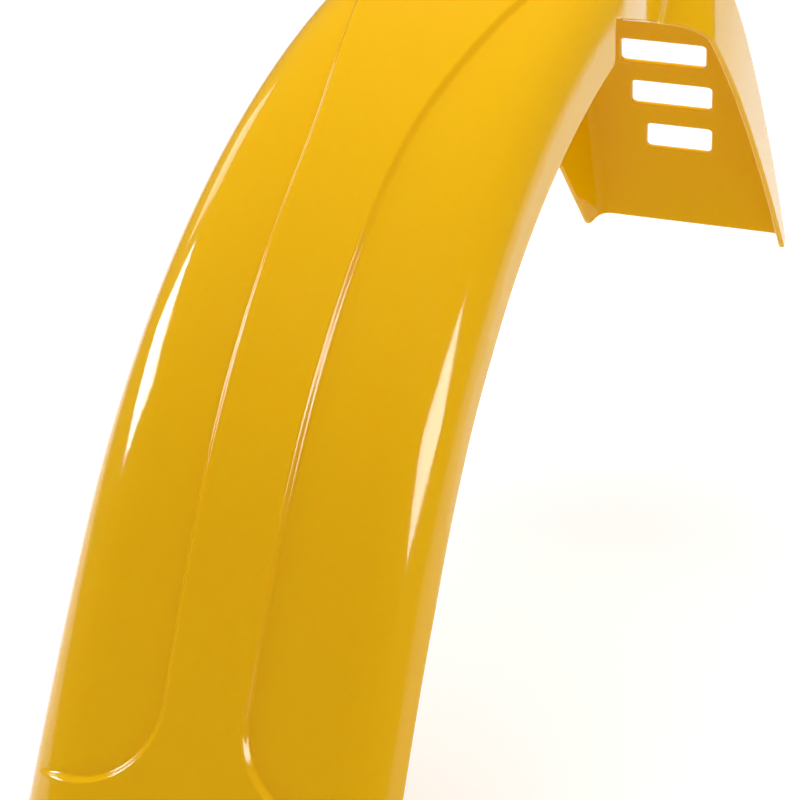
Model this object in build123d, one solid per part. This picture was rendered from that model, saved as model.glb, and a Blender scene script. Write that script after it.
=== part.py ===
from build123d import *
from math import cos, degrees, radians, sin, tan
import os

# All lengths are in millimetres. The origin is the middle of the mounting boss on the crown.
# X runs across the machine, the front is toward -Y and Z is up.

# Moulded sheet
wall = 3.0

# Side view of the crown line: four tangent arcs, two ahead of the crown and two behind it
blade_radius = 375.0
blade_sweep = 63.8
lip_radius = 1400.0
lip_length = 165.0
waist_radius = 217.0
waist_sweep = 57.4
flap_radius = 700.0
flap_length = 142.0

# Half widths of the sheet at named places along the crown line
heel_at = 60.0
heel_half = 63.5
tip_half = 86.0
neck_at = 110.0
neck_half = 36.0
flare_at = 150.0
flap_half = 52.0

# Outward lean of the flap's sides
flap_splay = 15.5

# Rounding between the top and the sides
blade_shoulder = 30.0
neck_shoulder = 20.0
flap_shoulder = 6.0

# Lower edge of the sides in side view: the heel steps up at one y, the rest are places (y, z)
heel_y = -60.0
heel_low = -62.0
heel_high = -40.5
skirt_rear = (-140.0, -88.0)
skirt_mid = (-234.0, -150.0)
skirt_low = (-313.0, -247.0)
neck_edge = (90.5, -78.0)
rim_mid = (159.0, -151.0)
tip_depth = 21.0
rim_depth = 16.0
heel_round = 4.0
neck_round = 25.0
rim_round = 7.0

# Raised band along the middle of the blade, drawn square to the mould's draw
draw_tilt = 40.0
band_rise = 2.5
band_front_half = 18.8
band_bend_half = 20.3
band_bend_at = 190.0
band_front_at = 486.0
band_flare = 0.2
band_corner = 36.0
band_bend_round = 90.0

# Slots across the flap
slot_widths = (48.0, 45.6, 37.2)
slot_height = 17.0
slot_pitch = 31.0
first_slot_at = 237.0
slot_lean = 9.0
slot_corner = 2.5

# Mounting boss on the crown
boss_rise = 2.0
boss_width = 48.0
boss_length = 64.0
boss_corner = 8.0
hole_radius = 3.25
hole_spacing_x = 30.0
hole_spacing_y = 44.0

# Front corners of the blade
tip_corner = 48.0

# Steps from section to section along the lofted runs
blade_steps = 4
crossing_steps = 3
flare_steps = 2

# Room left past the sheet by the solids that cut it
overrun = 20.0

blade_length = blade_radius * radians(blade_sweep)
waist_length = waist_radius * radians(waist_sweep)
tip_at = blade_length + lip_length
flap_at = waist_length + flap_length
side_depth = overrun - heel_low
across = 2 * tip_half


def blend(value, start, end, first, last):
    """Straight run from first to last while value goes from start to end."""
    share = (value - start) / (end - start)
    return first + (last - first) * share


def crown_plane(at):
    """Section plane across the sheet; at is the distance along the crown, front positive."""
    ahead = at >= 0
    near_radius = blade_radius if ahead else waist_radius
    near_length = blade_length if ahead else waist_length
    far_radius = lip_radius if ahead else flap_radius
    turn = min(abs(at), near_length) / near_radius
    run = near_radius * sin(turn)
    fall = near_radius * (1 - cos(turn))
    rest = max(abs(at) - near_length, 0)
    far_turn = turn + rest / far_radius
    run += far_radius * (sin(far_turn) - sin(turn))
    fall += far_radius * (cos(turn) - cos(far_turn))
    side = -1 if ahead else 1
    forward = (0, -cos(far_turn), side * sin(far_turn))
    return Plane(origin=(0, side * run, -boss_rise - fall), x_dir=(1, 0, 0), z_dir=forward)


def section(at, half, rounding, splay, inset):
    """Closed section of the arch, its top and sides moved inward by the inset."""
    depth = side_depth + inset
    lean = radians(splay)
    top = half + inset * tan(lean) - inset / cos(lean)
    foot = half + depth * tan(lean) - inset / cos(lean)
    corners = [(-foot, -depth), (foot, -depth), (top, -inset), (-top, -inset)]
    outline = make_face(Polyline(*corners, close=True))
    shoulders = outline.vertices().group_by(Axis.Y)[-1]
    return crown_plane(at) * fillet(shoulders, rounding - inset)


def arch(run, inset):
    """Solid filling the arch along a lofted run, its faces moved inward by the inset."""
    ends, halves, roundings, splays, steps = run
    sections = []
    for i in range(steps + 1):
        at = blend(i, 0, steps, *ends)
        shape = [blend(at, *ends, *pair) for pair in (halves, roundings, splays)]
        sections.append(section(at, *shape, inset))
    return loft(sections)


def swept(start, end, radius):
    """Sheet of the flap's section, turned about the centre of one arc of the crown line."""
    outer = section(-start, flap_half, flap_shoulder, flap_splay, 0)
    inner = section(-start, flap_half, flap_shoulder, flap_splay, wall)
    plane = crown_plane(-start)
    centre = plane.from_local_coords((0, -radius))
    return revolve(outer - inner, Axis(centre, -plane.x_dir), degrees((end - start) / radius))


def panel_region(outward):
    """Prism along the mould's draw over the sunk panel on the right, its edges moved outward."""
    bend = (band_bend_half - outward, -band_bend_at)
    front = (band_front_half - outward, -band_front_at - outward)
    reach = (across - band_bend_half) / band_flare
    outline = make_face(Polyline(bend, front, (across, front[1]), (across, reach + bend[1]), close=True))
    outline = fillet(outline.vertices().sort_by_distance(front)[0], band_corner + outward)
    outline = fillet(outline.vertices().sort_by_distance(bend)[0], band_bend_round)
    tilt = radians(draw_tilt)
    draw = Plane(origin=(0, 0, 0), x_dir=(1, 0, 0), z_dir=(0, -sin(tilt), cos(tilt)))
    return extrude(draw * outline, blade_radius, both=True)


def blade_layer(drop):
    """Wide layer over the blade, from the given drop below the crown line to well above it."""
    lip_turn = degrees(lip_length / lip_radius)
    low = JernArc((0, -boss_rise - drop), (-1, 0), blade_radius - drop, blade_sweep)
    low_lip = JernArc(low @ 1, low % 1, lip_radius - drop, 2 * lip_turn)
    high = JernArc((0, overrun), (-1, 0), blade_radius + boss_rise + overrun, blade_sweep)
    high_lip = JernArc(high @ 1, high % 1, lip_radius + boss_rise + overrun, 2 * lip_turn)
    ends = [Line(low @ 0, high @ 0), Line(low_lip @ 1, high_lip @ 1)]
    side_view = make_face([low, low_lip, high, high_lip] + ends)
    return extrude(Plane.YZ * side_view, across, both=True)


def sunk_arch(inset):
    """Solid under the blade with the two side panels sunk; the inset moves every face inward."""
    front = tip_at + overrun
    front_half = blend(front, heel_at, tip_at, heel_half, tip_half)
    run = ((front, heel_at), (front_half, heel_half), (blade_shoulder,) * 2, (0, 0), blade_steps)
    panel = panel_region(inset) & blade_layer(inset + band_rise)
    return arch(run, inset) - panel - mirror(panel, Plane.YZ)


def blade():
    """Sheet of the blade, from past its tip to the heel."""
    return sunk_arch(0) - sunk_arch(wall)


def crossing():
    """Sheet narrowing from the heel to the neck, with the mounting boss standing on it."""
    roundings = (blade_shoulder, neck_shoulder)
    run = ((heel_at, -neck_at), (heel_half, neck_half), roundings, (0, 0), crossing_steps)
    return arch(run, 0) + boss() - arch(run, wall)


def flare():
    """Sheet widening from the neck to the flap, its sides leaning out."""
    roundings = (neck_shoulder, flap_shoulder)
    run = ((-neck_at, -flare_at), (neck_half, flap_half), roundings, (0, flap_splay), flare_steps)
    return arch(run, 0) - arch(run, wall)


def flap():
    """Sheet of the flap: the rest of the waist's arc and the flap's own arc."""
    return swept(flare_at, waist_length, waist_radius) + swept(waist_length, flap_at + overrun, flap_radius)


def side_place(at, depth):
    """Place (y, z) in side view at the given depth under the crown line."""
    place = crown_plane(at).from_local_coords((0, -depth))
    return (place.Y, place.Z)


def side_outline():
    """Prism across the machine that trims the sides, the tip and the end of the flap."""
    heel_skirt = (heel_y, heel_low)
    heel_neck = (heel_y, heel_high)
    skirt_front = side_place(tip_at, tip_depth)
    rim_end = side_place(-flap_at, rim_depth)
    tip_top = side_place(tip_at, -overrun)
    flap_top = side_place(-flap_at, -overrun)
    edges = [
        Polyline(rim_end, flap_top, (flap_top[0], overrun), (tip_top[0], overrun), tip_top, skirt_front),
        Spline(skirt_front, skirt_low, skirt_mid, skirt_rear, heel_skirt),
        Polyline(heel_skirt, heel_neck, neck_edge),
        ThreePointArc(neck_edge, rim_mid, rim_end),
    ]
    outline = make_face(edges)
    corners = [heel_skirt, heel_neck, neck_edge, rim_end]
    rounds = [heel_round, heel_round, neck_round, rim_round]
    for corner, size in zip(corners, rounds):
        outline = fillet(outline.vertices().sort_by_distance(corner)[0], size)
    return extrude(Plane.YZ * outline, across, both=True)


def tangent_plane(at):
    """Plane lying on the crown line, facing outward."""
    across = crown_plane(at)
    return Plane(origin=across.origin, x_dir=across.x_dir, z_dir=across.y_dir)


def tip_corners():
    """What is cut away to round the two front corners of the blade."""
    end = Rectangle(across + 2 * overrun, 2 * tip_corner)
    kept = Pos(0, 2 * tip_corner) * RectangleRounded(across, 4 * tip_corner, tip_corner)
    return extrude(tangent_plane(tip_at) * (end - kept), side_depth, both=True)


def slot_outline(width):
    """Outline of a slot on the flap, its ends leaning the same way."""
    shift = slot_height * tan(radians(slot_lean)) / 2
    upper = [(shift - width / 2, -slot_height / 2), (shift + width / 2, -slot_height / 2)]
    lower = [(width / 2 - shift, slot_height / 2), (-width / 2 - shift, slot_height / 2)]
    outline = make_face(Polyline(*upper, *lower, close=True))
    return fillet(outline.vertices(), slot_corner)


def slots():
    """Three slots across the flap, each narrower than the one above it."""
    cuts = []
    for row, width in enumerate(slot_widths):
        place = tangent_plane(-first_slot_at - row * slot_pitch)
        cuts.append(extrude(place * slot_outline(width), 2 * wall, both=True))
    return cuts


def boss():
    """Flat mounting boss standing on the crown."""
    return extrude(RectangleRounded(boss_width, boss_length, boss_corner), -overrun)


def bolt_holes():
    """Clearance holes for the mounting bolts."""
    pattern = GridLocations(hole_spacing_x, hole_spacing_y, 2, 2)
    return pattern * Cylinder(hole_radius, 2 * overrun)


def mudguard():
    """The moulded sheet: its runs joined end to end, trimmed and pierced."""
    sheet = blade() + crossing() + flare() + flap()
    sheet = sheet & side_outline()
    return sheet - tip_corners() - slots() - bolt_holes()


os.makedirs("parts", exist_ok=True)
export_step(mudguard(), "parts/mudguard.step")
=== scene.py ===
from functools import lru_cache
from math import cos, pi, radians, sin

import bpy
import numpy as np
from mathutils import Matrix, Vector
from mathutils.geometry import delaunay_2d_cdt


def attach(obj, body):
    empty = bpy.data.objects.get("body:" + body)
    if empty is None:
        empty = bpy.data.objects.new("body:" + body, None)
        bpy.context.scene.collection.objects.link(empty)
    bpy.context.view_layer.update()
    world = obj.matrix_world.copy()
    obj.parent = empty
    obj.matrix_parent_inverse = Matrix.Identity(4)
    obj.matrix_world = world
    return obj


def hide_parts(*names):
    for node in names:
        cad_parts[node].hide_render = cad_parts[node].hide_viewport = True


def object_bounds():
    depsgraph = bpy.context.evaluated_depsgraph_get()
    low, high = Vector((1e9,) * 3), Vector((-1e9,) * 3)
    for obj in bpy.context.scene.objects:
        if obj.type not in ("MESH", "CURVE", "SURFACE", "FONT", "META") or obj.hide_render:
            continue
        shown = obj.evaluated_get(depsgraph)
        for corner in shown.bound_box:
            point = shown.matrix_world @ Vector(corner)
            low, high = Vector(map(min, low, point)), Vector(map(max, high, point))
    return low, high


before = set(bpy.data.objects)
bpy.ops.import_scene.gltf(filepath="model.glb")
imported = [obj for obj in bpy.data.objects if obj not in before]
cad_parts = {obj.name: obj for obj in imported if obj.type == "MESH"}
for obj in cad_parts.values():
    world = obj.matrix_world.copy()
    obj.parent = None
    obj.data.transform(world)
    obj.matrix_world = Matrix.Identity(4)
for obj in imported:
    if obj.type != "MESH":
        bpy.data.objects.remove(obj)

cad_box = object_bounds()

# Sizes in millimetres, in the part's own frame: X across, the front toward -Y, Z up
MM = 0.001
WALL = 3.0

# Crown line in side view: four tangent arcs, two ahead of the crown and two behind it
BLADE_RADIUS = 375.0
BLADE_SWEEP = radians(63.8)
LIP_RADIUS = 1400.0
LIP_LENGTH = 165.0
WAIST_RADIUS = 217.0
WAIST_SWEEP = radians(57.4)
FLAP_RADIUS = 700.0
FLAP_LENGTH = 142.0
BLADE_LENGTH = BLADE_RADIUS * BLADE_SWEEP
WAIST_LENGTH = WAIST_RADIUS * WAIST_SWEEP
TIP_AT = BLADE_LENGTH + LIP_LENGTH
FLAP_AT = WAIST_LENGTH + FLAP_LENGTH

# Half width, shoulder rounding and outward lean of the sides at places along the crown line
HEEL_AT = 60.0
NECK_AT = 100.0
FLARE_AT = 136.0
FLAP_LEAN = radians(13.5)
BLADE_LEAN = radians(8.0)
PLACES = (-FLAP_AT, -FLARE_AT, -NECK_AT, HEEL_AT, TIP_AT)
HALF_WIDTHS = (55.0, 47.0, 40.0, 62.3, 84.9)
SHOULDERS = (10.0, 10.0, 14.0, 36.0, 36.0)
SPLAYS = (FLAP_LEAN, FLAP_LEAN, 0.0, BLADE_LEAN, BLADE_LEAN)
CREASE = 4.0
CREASE_SAMPLES = 7

# Lower edge of the sides in side view, as places (y, z) and depths under the crown line
HEEL_SKIRT = (-67.0, -59.0)
HEEL_NECK = (-67.0, -37.0)
SKIRT_LOW = (-319.5, -246.0)
SKIRT_MID = (-238.0, -144.7)
SKIRT_REAR = (-143.0, -83.8)
NECK_EDGE = (90.5, -78.0)
RIM_MID = (159.0, -151.0)
TIP_DEPTH = 19.0
RIM_DEPTH = 15.0
TIP_CORNER = 48.0
NECK_ROUND = 18.0
HEEL_ROUND = 4.0
OUTLINE_ROUND = 4.0

# Upright hem along the free edge of the blade's sides: places along the crown and its heights
HEM_PLACES = (HEEL_AT, 250.0, 300.0, TIP_AT)
HEM_HEIGHTS = (21.0, 13.0, 9.0, 9.0)

# Raised band between the two sunk panels; the panels fade out over the shoulders
BAND_RISE = 3.2
BAND_BEND_AT = 212.0
BAND_BEND_HALF = 20.3
BAND_BEND_SOFTNESS = 30.0
BAND_FRONT_AT = 523.0
BAND_FRONT_HALF = 18.8
BAND_FLARE = 0.187
BAND_CORNER = 39.0
RIB_WIDTH = 3.6
INNER_RIB_WIDTH = 8.0
PANEL_FADE = 4

# Slots across the flap
SLOT_WIDTHS = (48.0, 45.6, 37.2)
SLOT_HEIGHT = 17.0
SLOT_PITCH = 31.0
FIRST_SLOT_AT = 237.0
SLOT_CORNER = 2.5
SLOT_LEAN = radians(9.0)

# Mounting boss on the crown; it lifts only what lies above the given height
BOSS_RISE = 2.0
BOSS_HALF = (24.0, 32.0)
BOSS_CORNER = 8.0
BOSS_EDGE = 2.5
BOSS_LOWEST = -32.0
HOLE_RADIUS = 3.25
HOLE_X = 15.0
HOLE_Y = 22.0

# Free edges: rounding, steps round it, and spacing of the points on each line
EDGE_ROUND = 1.1
EDGE_TURNS = 4
EDGE_STEP = 1.8
FRONT_STEP = 0.5
NECK_STEP = 1.0
SIDE_STEP = 0.8
SLOT_STEP = 0.8
HOLE_STEP = 0.7
SKIRT_POINTS = 400
RIM_POINTS = 200
CORNER_POINTS = 7

# Mesh: spacing of the points, reach across, and distances kept
GRID = 3.4
SHEET_REACH = 160.0
EDGE_CLEARANCE = 0.9
SHOULDER_MARGIN = 2.0
RIB_SHARE = 0.001
NORMAL_STEP = 0.05
MERGE_DISTANCE = 1e-6
CLEARANCE_BLOCKS = 40

# Plastic: two shades, mirror share outside and inside the sheet, roughness and light scattered inside
SHADE_LOW = (0.815, 0.456, 0.0, 1.0)
SHADE_HIGH = (0.845, 0.48, 0.0, 1.0)
OUTER_GLOSS = 0.5
INNER_GLOSS = 0.12
ROUGHNESS = (0.07, 0.11)
REFRACTION = 1.4
SCATTER_WEIGHT = 0.45
SCATTER_RADIUS = (1.0, 0.4, 0.05)
SCATTER_SCALE = 0.003

# Surface noise as (scale per metre, detail) and bumps as (strength, distance in metres)
SHADE_NOISE = (9.0, 3.0)
ROUGHNESS_NOISE = (55.0, 4.0)
WAVE_NOISE = (14.0, 1.0)
PEEL_NOISE = (420.0, 2.0)
WAVE_BUMP = (0.05, 0.004)
PEEL_BUMP = (0.04, 0.0004)
NOISE_LOW = 0.3
NOISE_HIGH = 0.7

# Sockets of the mix node that carry colours
MIX_FACTOR = 0
MIX_COLOURS = (6, 7)
MIX_RESULT = 2

# Stage, in metres and degrees
WHITE = (1.0, 1.0, 1.0, 1.0)
FLOOR_HALF = 12.0
FLOOR_GAP = 0.002
FLOOR_COLOUR = (0.87, 0.87, 0.87, 1.0)
FLOOR_ROUGHNESS = 0.9
FLOOR_GLOW = 0.19
WORLD_STRENGTH = 0.2
CAMERA_PLACE = (0.6223, -1.5836, 0.3535)
CAMERA_AZIMUTH = 23.62
CAMERA_ELEVATION = 19.67
CAMERA_LENS = 162.0
CAMERA_SENSOR = 36.0
CAMERA_REACH = 100.0

# Lights as name, place, size, power and target: the soft ones light the sheet, the others are mirrored in it
SOFT_LIGHTS = (
    ("key_light", (0.0, 0.4, 2.3), (4.6, 4.6), 130.0, (0.0, 0.4, 0.0)),
    ("left_fill", (-2.2, -0.4, 0.3), (1.5, 1.5), 13.0, (0.0, -0.3, -0.15)),
    ("right_fill", (2.2, -0.4, 0.3), (1.5, 1.5), 8.0, (0.0, -0.3, -0.15)),
)
STREAK_LIGHTS = (
    ("left_light", (-1.7, -0.48, 0.68), (0.9, 0.42), 30.0, (-0.05, -0.25, -0.13)),
    ("right_light", (1.9, -0.36, 0.6), (0.95, 0.6), 27.0, (0.07, -0.28, -0.15)),
    ("upper_left_light", (-1.7, 0.56, 0.74), (0.55, 0.45), 2.4, (-0.05, -0.15, -0.06)),
)


def smooth_step(value):
    """Rises from 0 to 1 with a soft start and end."""
    t = np.clip(value, 0.0, 1.0)
    return t * t * t * (t * (6.0 * t - 15.0) + 10.0)


def crown(at):
    """Place (y, z) and outward direction (y, z) of the crown line."""
    ahead = at >= 0
    side = np.where(ahead, -1.0, 1.0)
    near_radius = np.where(ahead, BLADE_RADIUS, WAIST_RADIUS)
    near_length = np.where(ahead, BLADE_LENGTH, WAIST_LENGTH)
    far_radius = np.where(ahead, LIP_RADIUS, FLAP_RADIUS)
    turn = np.minimum(np.abs(at), near_length) / near_radius
    far_turn = turn + np.maximum(np.abs(at) - near_length, 0.0) / far_radius
    run = near_radius * np.sin(turn) + far_radius * (np.sin(far_turn) - np.sin(turn))
    fall = near_radius * (1 - np.cos(turn)) + far_radius * (np.cos(turn) - np.cos(far_turn))
    return side * run, -BOSS_RISE - fall, side * np.sin(far_turn), np.cos(far_turn)


def along_crown(y, z):
    """Distance along the crown line and depth under it of a place in side view."""
    ahead = y < 0
    near_radius = BLADE_RADIUS if ahead else WAIST_RADIUS
    near_length = BLADE_LENGTH if ahead else WAIST_LENGTH
    far_radius = LIP_RADIUS if ahead else FLAP_RADIUS
    side = 1.0 if ahead else -1.0
    centre = -BOSS_RISE - near_radius
    turn = np.arctan2(abs(y), z - centre)
    if turn * near_radius <= near_length:
        return side * turn * near_radius, near_radius - np.hypot(y, z - centre)
    end = near_length / near_radius
    far_y = (near_radius - far_radius) * sin(end)
    far_z = centre + (near_radius - far_radius) * cos(end)
    turn = np.arctan2(abs(y) - far_y, z - far_z)
    depth = far_radius - np.hypot(abs(y) - far_y, z - far_z)
    return side * (near_length + (turn - end) * far_radius), depth


def eased(at, values):
    """Value along the crown, straight between the places and eased at their creases."""
    shifts = np.linspace(-CREASE, CREASE, CREASE_SAMPLES)
    return sum(np.interp(at + shift, PLACES, values) for shift in shifts) / len(shifts)


def panel_depth(at, x, rib_width):
    """How far the sunk panel lies below the band, from 0 on the band to 1 on the panel."""
    ahead = np.interp(at, (BAND_BEND_AT, BAND_FRONT_AT), (BAND_BEND_HALF, BAND_FRONT_HALF))
    bend = BAND_BEND_AT - at
    behind = (bend + np.sqrt(bend * bend + BAND_BEND_SOFTNESS**2)) / 2
    across = np.abs(x) - ahead - BAND_FLARE * behind
    front = BAND_FRONT_AT - at
    corner = BAND_CORNER - np.hypot(np.maximum(BAND_CORNER - across, 0), np.maximum(BAND_CORNER - front, 0))
    inside = np.where((across < BAND_CORNER) & (front < BAND_CORNER), corner, np.minimum(across, front))
    return smooth_step(inside / rib_width + 0.5)


def boss_lift(x, y):
    """Share of the boss, 1 on its flat top and 0 outside it."""
    reach_x = np.abs(x) - BOSS_HALF[0] + BOSS_CORNER
    reach_y = np.abs(y) - BOSS_HALF[1] + BOSS_CORNER
    outside = np.hypot(np.maximum(reach_x, 0), np.maximum(reach_y, 0)) - BOSS_CORNER
    return smooth_step(-outside / BOSS_EDGE + 0.5)


def shape_at(at):
    """Half width of the flat top, shoulder rounding, its turn and the sides' lean along the crown."""
    rounding = eased(at, SHOULDERS)
    splay = eased(at, SPLAYS)
    turn = pi / 2 - splay
    flat = eased(at, HALF_WIDTHS) - rounding * np.tan(turn / 2)
    return flat, rounding, turn, splay


def side_place(at, depth):
    """Place (y, z) in side view at the given depth under the crown line."""
    y, z, out_y, out_z = crown(np.array(at))
    return float(y - depth * out_y), float(z - depth * out_z)


def curve_through(points, count):
    """Smooth curve through a few places."""
    points = np.array(points)
    lengths = np.hypot(*np.diff(points, axis=0).T)
    run = np.concatenate([[0.0], np.cumsum(lengths)]) / lengths.sum()
    places = np.linspace(0.0, 1.0, count)
    fits = [np.polyfit(run, points[:, k], len(points) - 1) for k in (0, 1)]
    return np.stack([np.polyval(fit, places) for fit in fits], axis=1)


def skirt_line():
    """Lower edge of the blade's sides in side view, from the tip to the heel."""
    tip = side_place(TIP_AT, TIP_DEPTH)
    return curve_through([tip, SKIRT_LOW, SKIRT_MID, SKIRT_REAR, HEEL_SKIRT], SKIRT_POINTS)


@lru_cache
def skirt_depths():
    """The skirt's lower edge as places along the crown, from the heel, and depths under it."""
    return np.array([along_crown(y, z) for y, z in skirt_line()[::-1]]).T


def leaning_wall(at):
    """Length of the leaning side under the shoulder; the upright hem begins at its end."""
    rounding, full_turn, splay = shape_at(at)[1:]
    edge = np.interp(at, *skirt_depths())
    hem = np.interp(at, HEM_PLACES, HEM_HEIGHTS)
    room = edge - hem - rounding * (1 - np.cos(full_turn))
    return np.where(at < HEEL_AT, np.inf, np.maximum(room, 0.0) / np.cos(splay))


def surface(at, across, rib_width=RIB_WIDTH):
    """Outer surface at a distance along the crown and a distance across, over the shoulder."""
    flat, rounding, full_turn, splay = shape_at(at)
    reach = np.abs(across)
    turn = np.clip((reach - flat) / rounding, 0.0, full_turn)
    wall = np.maximum(reach - flat - rounding * full_turn, 0.0)
    leaning = np.minimum(wall, leaning_wall(at))
    x = np.minimum(reach, flat) + rounding * np.sin(turn) + leaning * np.sin(splay)
    depth = rounding * (1 - np.cos(turn)) + leaning * np.cos(splay) + wall - leaning
    depth = depth + BAND_RISE * panel_depth(at, x, rib_width) * np.cos(turn) ** PANEL_FADE
    y, z, out_y, out_z = crown(at)
    place_y = y - depth * out_y
    place_z = z - depth * out_z
    lift = boss_lift(x, place_y) * (place_z > BOSS_LOWEST)
    place_z = place_z * (1 - lift)
    return np.stack([np.sign(across) * x, place_y, place_z], axis=-1)


def normals(at, across, rib_width=RIB_WIDTH):
    """Outward directions of the outer surface."""
    step = NORMAL_STEP
    along = surface(at + step, across, rib_width) - surface(at - step, across, rib_width)
    sideways = surface(at, across + step, rib_width) - surface(at, across - step, rib_width)
    out = np.cross(along, sideways)
    return out / np.linalg.norm(out, axis=1, keepdims=True)


def spaced(points, step, closed=False):
    """The same line with its points evenly spaced."""
    line = np.vstack([points, points[:1]]) if closed else np.asarray(points, dtype=float)
    lengths = np.hypot(*np.diff(line, axis=0).T)
    run = np.concatenate([[0.0], np.cumsum(lengths)])
    count = max(int(round(run[-1] / step)), 2)
    places = np.linspace(0.0, run[-1], count + 1)
    if closed:
        places = places[:-1]
    return np.stack([np.interp(places, run, line[:, 0]), np.interp(places, run, line[:, 1])], axis=1)


def rounded(points, reach, step, closed=False):
    """The same line with its corners rounded over the given reach."""
    line = spaced(points, step, closed)
    width = max(int(round(reach / step)), 1)
    kernel = np.hanning(2 * width + 3)[1:-1]
    kernel = kernel / kernel.sum()
    if closed:
        padded = np.pad(line, ((width, width), (0, 0)), mode="wrap")
    else:
        head = 2 * line[0] - line[width:0:-1]
        tail = 2 * line[-1] - line[-2:-width - 2:-1]
        padded = np.vstack([head, line, tail])
    return np.stack([np.convolve(padded[:, k], kernel, "valid") for k in (0, 1)], axis=1)


def across_at(at, depth):
    """Distance across, over the shoulder, of a place at the given depth on the side."""
    flat, rounding, full_turn, splay = shape_at(at)
    turn = np.minimum(np.arccos(np.clip(1 - depth / rounding, -1.0, 1.0)), full_turn)
    below = np.maximum(depth - rounding * (1 - np.cos(full_turn)), 0.0)
    leaning = np.minimum(below / np.cos(splay), leaning_wall(at))
    return flat + rounding * turn + leaning + below - leaning * np.cos(splay)


def lower_edge():
    """The right side's free edge, from the front of the skirt to the end of the flap."""
    rim = curve_through([NECK_EDGE, RIM_MID, side_place(-FLAP_AT, RIM_DEPTH)], RIM_POINTS)
    neck = rounded(np.vstack([[HEEL_NECK], rim]), NECK_ROUND, NECK_STEP)
    side_view = rounded(np.vstack([skirt_line(), neck]), HEEL_ROUND, SIDE_STEP)
    places = np.array([along_crown(y, z) for y, z in side_view])
    return np.stack([places[:, 0], across_at(places[:, 0], places[:, 1])], axis=1)


def front_edge(edge):
    """The right half of the front end, round the corner and down to the skirt's free edge."""
    half = HALF_WIDTHS[-1]
    rounding = SHOULDERS[-1]
    line = []
    for x in np.arange(0.0, half, FRONT_STEP):
        past = max(x - half + TIP_CORNER, 0.0)
        at = TIP_AT - TIP_CORNER + np.sqrt(max(TIP_CORNER**2 - past**2, 0.0))
        flat = shape_at(at)[0]
        share = min(max((x - flat) / rounding, 0.0), 1.0)
        across = min(x, flat) + rounding * np.arcsin(share)
        if across > np.interp(at, edge[::-1, 0], edge[::-1, 1]):
            break
        line.append((at, across))
    return np.array(line)


def sheet_outline():
    """Closed free edge of the whole sheet."""
    edge = lower_edge()
    front = front_edge(edge)
    right = np.vstack([front, edge[edge[:, 0] < front[-1, 0] - FRONT_STEP], [(-FLAP_AT, 0.0)]])
    left = right[-2:0:-1] * (1, -1)
    return rounded(np.vstack([right, left]), OUTLINE_ROUND, EDGE_STEP, closed=True)


def rounded_box(centre, half, corner, step):
    """Closed outline of a rectangle with round corners."""
    points = []
    for turn, (sign_a, sign_b) in enumerate(((1, 1), (-1, 1), (-1, -1), (1, -1))):
        start = turn * pi / 2
        for angle in np.linspace(start, start + pi / 2, CORNER_POINTS):
            a = centre[0] + sign_a * (half[0] - corner) + corner * cos(angle)
            b = centre[1] + sign_b * (half[1] - corner) + corner * sin(angle)
            points.append((a, b))
    return spaced(np.array(points), step, closed=True)


def slot_outlines():
    """Three slots across the flap, each narrower than the one above it, their ends leaning alike."""
    outlines = []
    for row, width in enumerate(SLOT_WIDTHS):
        centre = -FIRST_SLOT_AT - row * SLOT_PITCH
        outline = rounded_box((centre, 0.0), (SLOT_HEIGHT / 2, width / 2), SLOT_CORNER, SLOT_STEP)
        outline[:, 1] += np.tan(SLOT_LEAN) * (outline[:, 0] - centre)
        outlines.append(outline)
    return outlines


def hole_outlines():
    """Four bolt holes through the boss."""
    outlines = []
    for x in (-HOLE_X, HOLE_X):
        for y in (-HOLE_Y, HOLE_Y):
            at = along_crown(y, -BOSS_RISE)[0]
            outlines.append(rounded_box((at, x), (HOLE_RADIUS, HOLE_RADIUS), HOLE_RADIUS, HOLE_STEP))
    return outlines


def inside_loop(points, loop):
    """Which points lie inside a closed outline."""
    inside = np.zeros(len(points), dtype=bool)
    for (ax, ay), (bx, by) in zip(loop, np.roll(loop, -1, axis=0)):
        if ay == by:
            continue
        crosses = (points[:, 1] < ay) != (points[:, 1] < by)
        meets = ax + (points[:, 1] - ay) / (by - ay) * (bx - ax)
        inside ^= crosses & (points[:, 0] < meets)
    return inside


def on_sheet(points, loops):
    """Which points lie inside the sheet's free edge and outside its slots and holes."""
    inside = inside_loop(points, loops[0])
    for loop in loops[1:]:
        inside &= ~inside_loop(points, loop)
    return inside


def moved_in(loop, distance):
    """Outline moved to its left by the given distance."""
    along = np.roll(loop, -1, axis=0) - np.roll(loop, 1, axis=0)
    along = along / np.linalg.norm(along, axis=1, keepdims=True)
    return loop + distance * np.stack([-along[:, 1], along[:, 0]], axis=1)


def clear_of(points, loops, distance):
    """The points that keep the given distance from the outlines."""
    marks = np.vstack(loops)
    keep = np.ones(len(points), dtype=bool)
    for block in np.array_split(np.arange(len(points)), CLEARANCE_BLOCKS):
        gaps = points[block, None, :] - marks[None, :, :]
        keep[block] = (gaps * gaps).sum(axis=2).min(axis=1) > distance * distance
    return points[keep]


def grid(step, first, last):
    """Staggered points over a strip of the sheet."""
    rows = np.arange(first, last, step)
    columns = np.arange(-SHEET_REACH, SHEET_REACH, step)
    at, across = np.meshgrid(rows, columns, indexing="ij")
    across = across + np.where(np.arange(len(rows)) % 2, step / 2, 0.0)[:, None]
    return np.stack([at.ravel(), across.ravel()], axis=1)


def near_feature(points):
    """Which points lie on a rib or on the edge of the boss."""
    at, across = points.T
    place = surface(at, across)
    share = panel_depth(at, place[:, 0], 2 * RIB_WIDTH)
    rib = (share > RIB_SHARE) & (share < 1 - RIB_SHARE)
    lift = boss_lift(place[:, 0], place[:, 1])
    boss = (lift > 0.0) & (lift < 1.0) & (np.abs(at) < 2 * BOSS_HALF[1])
    return rib | boss


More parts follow.
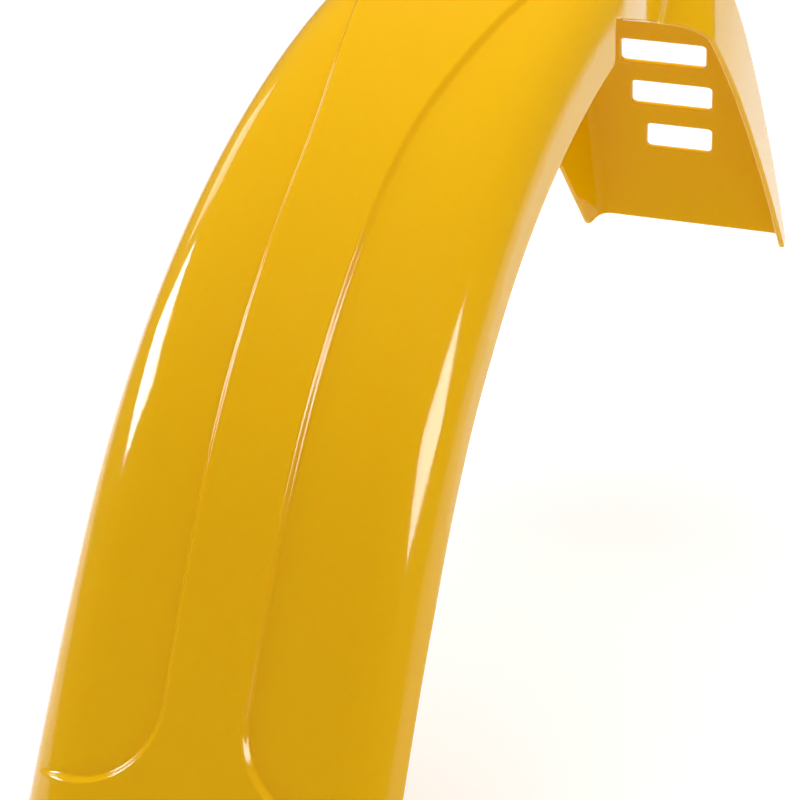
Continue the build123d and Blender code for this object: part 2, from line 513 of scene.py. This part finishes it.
def tight(points):
    """Which points lie on the small shoulders behind the heel."""
    at, across = points.T
    flat, rounding, full_turn, _ = shape_at(at)
    reach = np.abs(across) - flat
    return (at < HEEL_AT) & (reach > -SHOULDER_MARGIN) & (reach < rounding * full_turn + SHOULDER_MARGIN)


def sheet_points(loops):
    """Points over the sheet: closer together on ribs, boss edges and tight shoulders."""
    coarse = grid(GRID, -FLAP_AT, TIP_AT)
    coarse = coarse[~near_feature(coarse) & ~tight(coarse)]
    middle = grid(GRID / 2, -FLAP_AT, HEEL_AT)
    middle = middle[tight(middle) & ~near_feature(middle)]
    fine = grid(GRID / 4, -2 * BOSS_HALF[1], TIP_AT)
    fine = fine[near_feature(fine)]
    points = np.vstack([coarse, middle, fine])
    return clear_of(points[on_sheet(points, loops)], loops, EDGE_CLEARANCE)


def triangulate(points, loops):
    """Triangles over the sheet between its outlines."""
    flat = np.vstack(loops + [points])
    edges = []
    first = 0
    for loop in loops:
        count = len(loop)
        edges += [(first + k, first + (k + 1) % count) for k in range(count)]
        first += count
    result = delaunay_2d_cdt([Vector(p) for p in flat], edges, [], 0, MERGE_DISTANCE, False)
    flat = np.array([(p.x, p.y) for p in result[0]])
    triangles = np.array(result[2])
    return flat, triangles[on_sheet(flat[triangles].mean(axis=1), loops)]


def rim_rows(place, out, lower, lower_out, outward):
    """Rows of points and directions round a free edge, from the outer face to the inner one."""
    rows = []
    turns = np.linspace(0.0, pi / 2, EDGE_TURNS + 1)
    for turn in turns[1:]:
        point = place + EDGE_ROUND * (outward * sin(turn) - out * (1 - cos(turn)))
        rows.append((point, out * cos(turn) + outward * sin(turn)))
    for turn in turns[:0:-1]:
        point = lower + EDGE_ROUND * (outward * sin(turn) + lower_out * (1 - cos(turn)))
        rows.append((point, -lower_out * cos(turn) + outward * sin(turn)))
    return rows


def strip(upper, lower):
    """Four-sided faces between two closed rows of points."""
    return np.stack([upper, lower, np.roll(lower, -1), np.roll(upper, -1)], axis=1).tolist()


def mudguard_mesh():
    """The moulded sheet with its thickness and rounded free edges, and its outward directions."""
    true_loops = [sheet_outline()] + [loop[::-1] for loop in slot_outlines() + hole_outlines()]
    loops = [moved_in(loop, EDGE_ROUND) for loop in true_loops]
    flat, triangles = triangulate(sheet_points(loops), loops)
    at, across = flat.T
    outer = surface(at, across)
    outer_out = normals(at, across)
    inner_out = normals(at, across, INNER_RIB_WIDTH)
    inner = surface(at, across, INNER_RIB_WIDTH) - WALL * inner_out
    count = len(flat)
    points = [outer, inner]
    directions = [outer_out, -inner_out]
    faces = triangles.tolist() + (triangles[:, ::-1] + count).tolist()
    total = 2 * count
    first = 0
    for true_loop in true_loops:
        size = len(true_loop)
        index = np.arange(first, first + size)
        outward = surface(*true_loop.T) - outer[index]
        outward -= (outward * outer_out[index]).sum(axis=1, keepdims=True) * outer_out[index]
        outward /= np.linalg.norm(outward, axis=1, keepdims=True)
        rows = rim_rows(outer[index], outer_out[index], inner[index], inner_out[index], outward)
        chain = [index]
        for place, direction in rows:
            points.append(place)
            directions.append(direction)
            chain.append(np.arange(total, total + size))
            total += size
        chain.append(index + count)
        for upper, lower in zip(chain, chain[1:]):
            faces += strip(upper, lower)
        first += size
    mesh = bpy.data.meshes.new("mudguard_sheet")
    mesh.from_pydata((np.vstack(points) * MM).tolist(), [], faces)
    inside = np.zeros(len(faces), dtype=int)
    inside[len(triangles):2 * len(triangles)] = 1
    mesh.polygons.foreach_set("material_index", inside)
    return mesh, np.vstack(directions)


def node(tree, kind, **values):
    """New shader node with its sockets and settings given by name."""
    item = tree.nodes.new(kind)
    for name, value in values.items():
        if name in item.inputs:
            item.inputs[name].default_value = value
        else:
            setattr(item, name, value)
    return item


def noise(tree, place, scale, detail):
    """Noise at a scale per metre, read at the object's own place."""
    item = node(tree, "ShaderNodeTexNoise", Scale=scale, Detail=detail)
    tree.links.new(place, item.inputs["Vector"])
    return item.outputs["Fac"]


def spread(tree, value, low, high):
    """Noise value spread between two numbers."""
    item = node(tree, "ShaderNodeMapRange")
    item.inputs["From Min"].default_value = NOISE_LOW
    item.inputs["From Max"].default_value = NOISE_HIGH
    item.inputs["To Min"].default_value = low
    item.inputs["To Max"].default_value = high
    tree.links.new(value, item.inputs["Value"])
    return item.outputs["Result"]


def bump(tree, height, strength, distance):
    """Bump node that reads the given height."""
    item = node(tree, "ShaderNodeBump", Strength=strength, Distance=distance)
    tree.links.new(height, item.inputs["Height"])
    return item


def yellow_plastic(name, gloss):
    """Moulded plastic: faint flow marks in the colour, fine orange peel and slow waviness."""
    material = bpy.data.materials.new(name)
    material.use_nodes = True
    tree = material.node_tree
    shader = tree.nodes["Principled BSDF"]
    place = node(tree, "ShaderNodeTexCoord").outputs["Object"]
    shade = node(tree, "ShaderNodeMix", data_type="RGBA")
    for socket, colour in zip(MIX_COLOURS, (SHADE_LOW, SHADE_HIGH)):
        shade.inputs[socket].default_value = colour
    tree.links.new(noise(tree, place, *SHADE_NOISE), shade.inputs[MIX_FACTOR])
    tree.links.new(shade.outputs[MIX_RESULT], shader.inputs["Base Color"])
    roughness = spread(tree, noise(tree, place, *ROUGHNESS_NOISE), *ROUGHNESS)
    tree.links.new(roughness, shader.inputs["Roughness"])
    wave = bump(tree, noise(tree, place, *WAVE_NOISE), *WAVE_BUMP)
    peel = bump(tree, noise(tree, place, *PEEL_NOISE), *PEEL_BUMP)
    tree.links.new(wave.outputs["Normal"], peel.inputs["Normal"])
    tree.links.new(peel.outputs["Normal"], shader.inputs["Normal"])
    shader.inputs["IOR"].default_value = REFRACTION
    shader.inputs["Specular IOR Level"].default_value = gloss
    shader.inputs["Subsurface Weight"].default_value = SCATTER_WEIGHT
    shader.inputs["Subsurface Radius"].default_value = SCATTER_RADIUS
    shader.inputs["Subsurface Scale"].default_value = SCATTER_SCALE
    return material


def add_mudguard():
    """The dressed sheet in place of the plain solid."""
    mesh, directions = mudguard_mesh()
    mesh.polygons.foreach_set("use_smooth", [True] * len(mesh.polygons))
    mesh.normals_split_custom_set_from_vertices(directions.tolist())
    mesh.materials.append(yellow_plastic("yellow_plastic", OUTER_GLOSS))
    mesh.materials.append(yellow_plastic("yellow_plastic_inside", INNER_GLOSS))
    piece = bpy.data.objects.new("mudguard_sheet", mesh)
    bpy.context.collection.objects.link(piece)
    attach(piece, "root")
    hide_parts("mudguard")


def floor_white():
    """Pale floor that also glows a little where it is seen directly, mirrored or through the object."""
    material = bpy.data.materials.new("floor_white")
    material.use_nodes = True
    tree = material.node_tree
    shader = tree.nodes["Principled BSDF"]
    shader.inputs["Base Color"].default_value = FLOOR_COLOUR
    shader.inputs["Roughness"].default_value = FLOOR_ROUGHNESS
    shader.inputs["Specular IOR Level"].default_value = 0.0
    path = node(tree, "ShaderNodeLightPath")
    seen = path.outputs["Is Camera Ray"]
    for kind in ("Is Glossy Ray", "Is Transmission Ray"):
        total = node(tree, "ShaderNodeMath", operation="ADD")
        tree.links.new(seen, total.inputs[0])
        tree.links.new(path.outputs[kind], total.inputs[1])
        seen = total.outputs[0]
    glow = node(tree, "ShaderNodeMath", operation="MULTIPLY")
    glow.inputs[1].default_value = FLOOR_GLOW
    tree.links.new(seen, glow.inputs[0])
    shader.inputs["Emission Color"].default_value = WHITE
    tree.links.new(glow.outputs[0], shader.inputs["Emission Strength"])
    return material


def add_floor(level):
    """Plain pale floor."""
    mesh = bpy.data.meshes.new("floor")
    corners = [(-FLOOR_HALF, -FLOOR_HALF, level), (FLOOR_HALF, -FLOOR_HALF, level)]
    corners += [(FLOOR_HALF, FLOOR_HALF, level), (-FLOOR_HALF, FLOOR_HALF, level)]
    mesh.from_pydata(corners, [], [(0, 1, 2, 3)])
    mesh.materials.append(floor_white())
    floor = bpy.data.objects.new("floor", mesh)
    bpy.context.collection.objects.link(floor)


def add_softbox(name, place, size, power, target):
    """Rectangular soft light that faces a target."""
    lamp = bpy.data.lights.new(name, "AREA")
    lamp.shape = "RECTANGLE"
    lamp.size = size[0]
    lamp.size_y = size[1]
    lamp.energy = power
    light = bpy.data.objects.new(name, lamp)
    bpy.context.collection.objects.link(light)
    aim = Vector(target) - Vector(place)
    light.rotation_euler = aim.to_track_quat("-Z", "Y").to_euler()
    light.location = place
    return light


def add_lights():
    """Soft lights left out of mirror reflections, and streak lights seen only in them."""
    for light in SOFT_LIGHTS:
        add_softbox(*light).visible_glossy = False
    for light in STREAK_LIGHTS:
        add_softbox(*light).visible_diffuse = False


def add_world():
    """Even grey surroundings."""
    world = bpy.data.worlds.new("surroundings")
    bpy.context.scene.world = world
    world.use_nodes = True
    background = world.node_tree.nodes["Background"]
    background.inputs["Color"].default_value = WHITE
    background.inputs["Strength"].default_value = WORLD_STRENGTH


def add_camera():
    """Camera at the photograph's place, without roll or shift."""
    camera = bpy.data.cameras.new("camera")
    camera.lens = CAMERA_LENS
    camera.sensor_width = CAMERA_SENSOR
    camera.clip_end = CAMERA_REACH
    view = bpy.data.objects.new("camera", camera)
    bpy.context.collection.objects.link(view)
    azimuth = radians(CAMERA_AZIMUTH)
    elevation = radians(CAMERA_ELEVATION)
    aim = Vector((-sin(azimuth) * cos(elevation), cos(azimuth) * cos(elevation), -sin(elevation)))
    view.rotation_euler = aim.to_track_quat("-Z", "Y").to_euler()
    view.location = CAMERA_PLACE
    bpy.context.scene.camera = view


add_mudguard()
add_floor(cad_box[0][2] - FLOOR_GAP)
add_lights()
add_world()
add_camera()
bpy.context.scene.view_settings.view_transform = "Standard"
